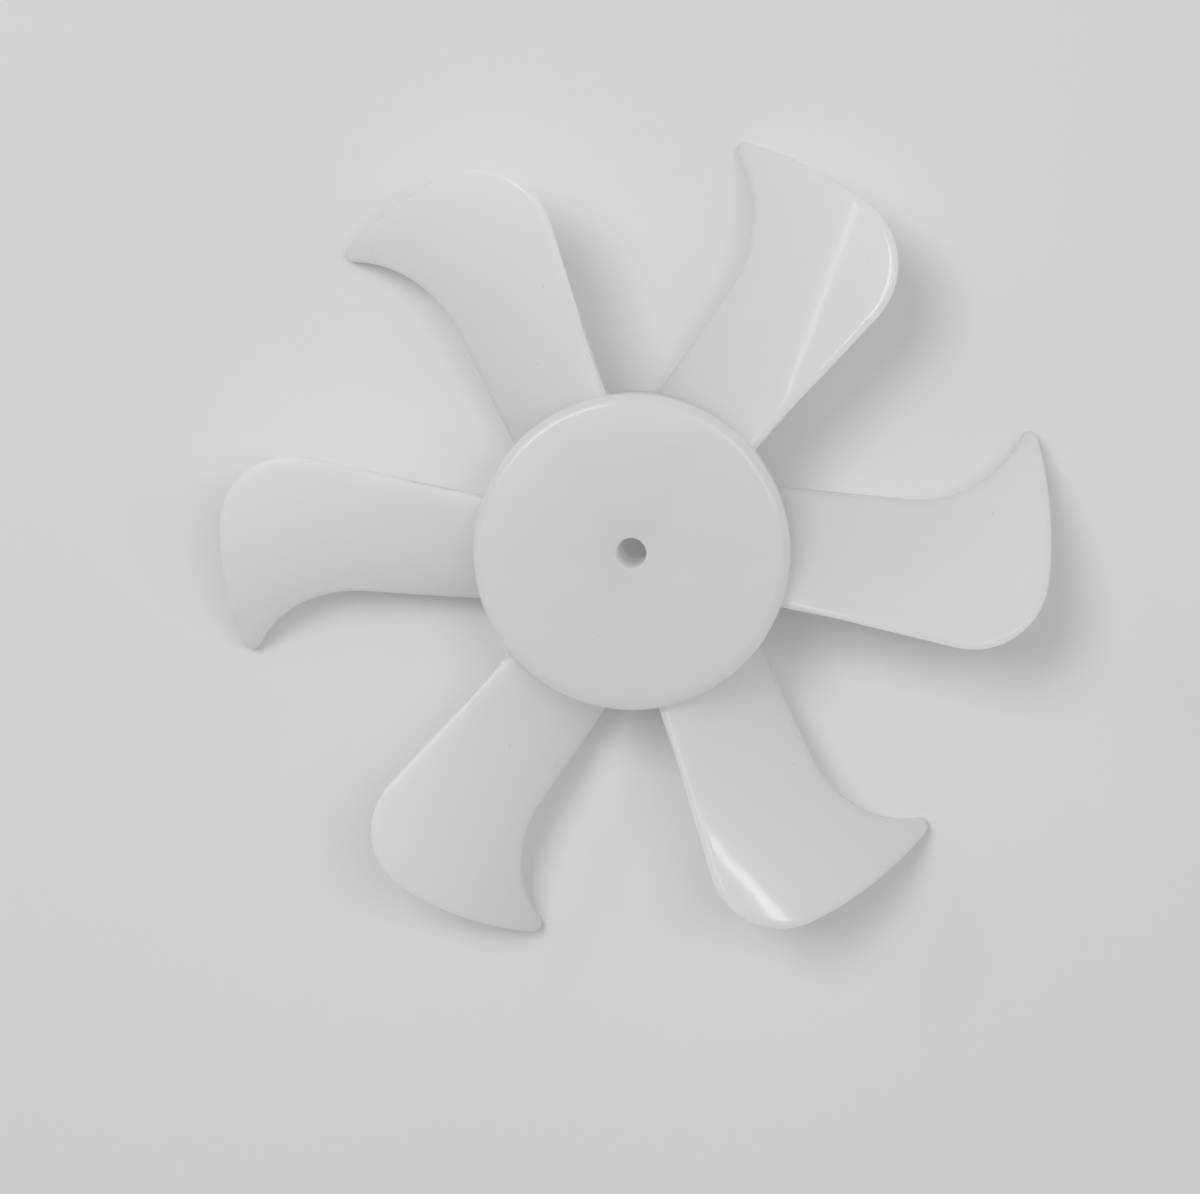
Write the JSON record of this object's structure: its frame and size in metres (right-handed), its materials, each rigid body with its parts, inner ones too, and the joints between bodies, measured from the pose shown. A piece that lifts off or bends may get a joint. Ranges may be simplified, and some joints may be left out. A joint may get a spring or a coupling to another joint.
{
  "type": "axial fan impeller",
  "caption": "Small axial fan impeller moulded in one piece: a closed round hub with a through bore for the shaft, and swept, twisted blades with a hooked trailing tip.",
  "frame": {"origin": "on the shaft axis, in the plane that the blade tips stand on, at the centre of the bounding box's bottom", "axes": "+Z along the shaft axis, out of the hub's closed face; +X along the middle of one blade's root"},
  "size_m": [0.0876, 0.0856, 0.0171],
  "materials": {
    "natural_plastic": "semi-gloss, milky natural plastic that lets some light through"
  },
  "bodies": {
    "root": {"fan_impeller": "natural_plastic"}
  },
  "joints": []
}
